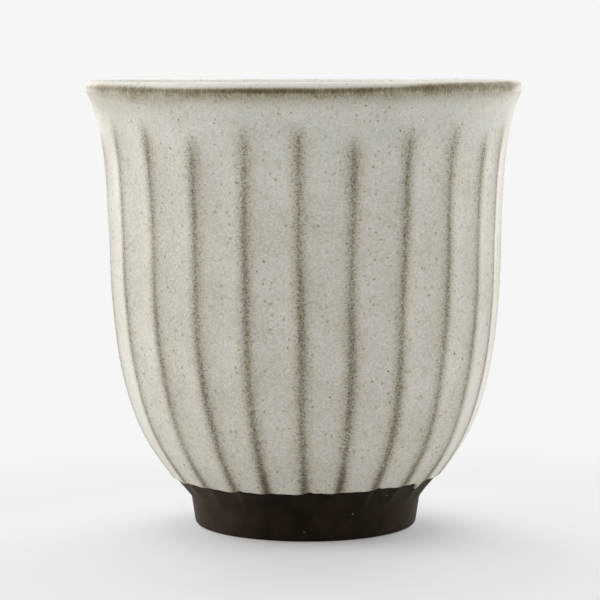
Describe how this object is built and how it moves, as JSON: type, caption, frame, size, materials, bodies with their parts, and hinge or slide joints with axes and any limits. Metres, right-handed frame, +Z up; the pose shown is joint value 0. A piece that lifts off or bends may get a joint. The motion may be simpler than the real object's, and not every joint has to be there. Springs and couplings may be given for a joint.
{
  "type": "tea cup",
  "caption": "Round stoneware tea cup without a handle: flared lip, upright fluted wall, pale speckled glaze and a bare dark foot ring that it stands on.",
  "frame": {"origin": "on the table, at the centre of the foot ring", "axes": "+Z up along the cup's axis; -Y is the side that the picture shows"},
  "size_m": [0.0834, 0.0832, 0.0855],
  "materials": {
    "bare_clay": "matt unglazed dark stoneware",
    "outer_glaze": "satin speckled glaze that breaks brown on edges",
    "inner_glaze": "satin speckled glaze"
  },
  "bodies": {
    "root": {"clay_body": "bare_clay", "foot_ring": "bare_clay", "outer_glaze": "outer_glaze", "inner_glaze": "inner_glaze"}
  },
  "joints": []
}
